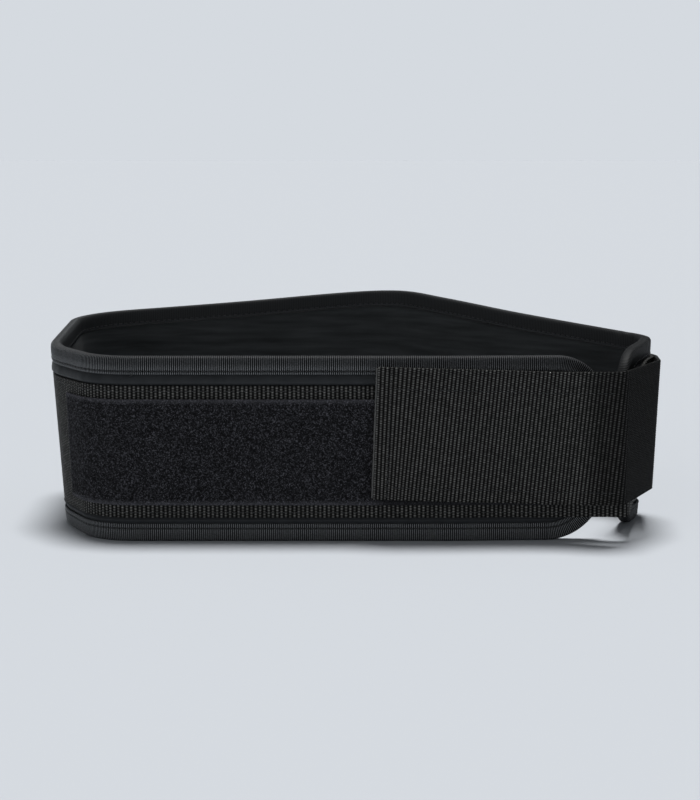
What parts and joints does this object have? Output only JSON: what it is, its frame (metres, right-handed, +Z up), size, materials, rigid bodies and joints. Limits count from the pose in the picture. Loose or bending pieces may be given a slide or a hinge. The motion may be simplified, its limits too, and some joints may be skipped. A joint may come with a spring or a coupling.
{
  "type": "weightlifting belt",
  "caption": "Padded weightlifting belt, closed: bound edges, a wide webbing band, a loop tape field at the front and a hook-backed strap that turns back through a ring.",
  "frame": {"origin": "on the surface it stands on, under the middle of the whole belt", "axes": "+Z up the standing belt, +X to the right along the front panel, the front panel faces -Y"},
  "size_m": [0.3632, 0.2284, 0.1277],
  "materials": {
    "shell_cloth": "smooth close-woven nylon shell, faint sheen",
    "lining_cloth": "smooth matt knit lining",
    "binding_tape": "fine-ribbed nylon binding tape, stitched",
    "webbing": "coarse plain-woven nylon webbing",
    "loop_tape": "brushed loop pile",
    "hook_tape": "moulded hook field",
    "ring_steel": "plain steel wire"
  },
  "bodies": {
    "root": {"padded_body": "shell_cloth", "inner_lining": "lining_cloth", "edge_binding": "binding_tape", "webbing_band": "webbing", "loop_panel": "loop_tape", "hook_patch": "hook_tape", "strap_ring": "ring_steel"}
  },
  "joints": []
}
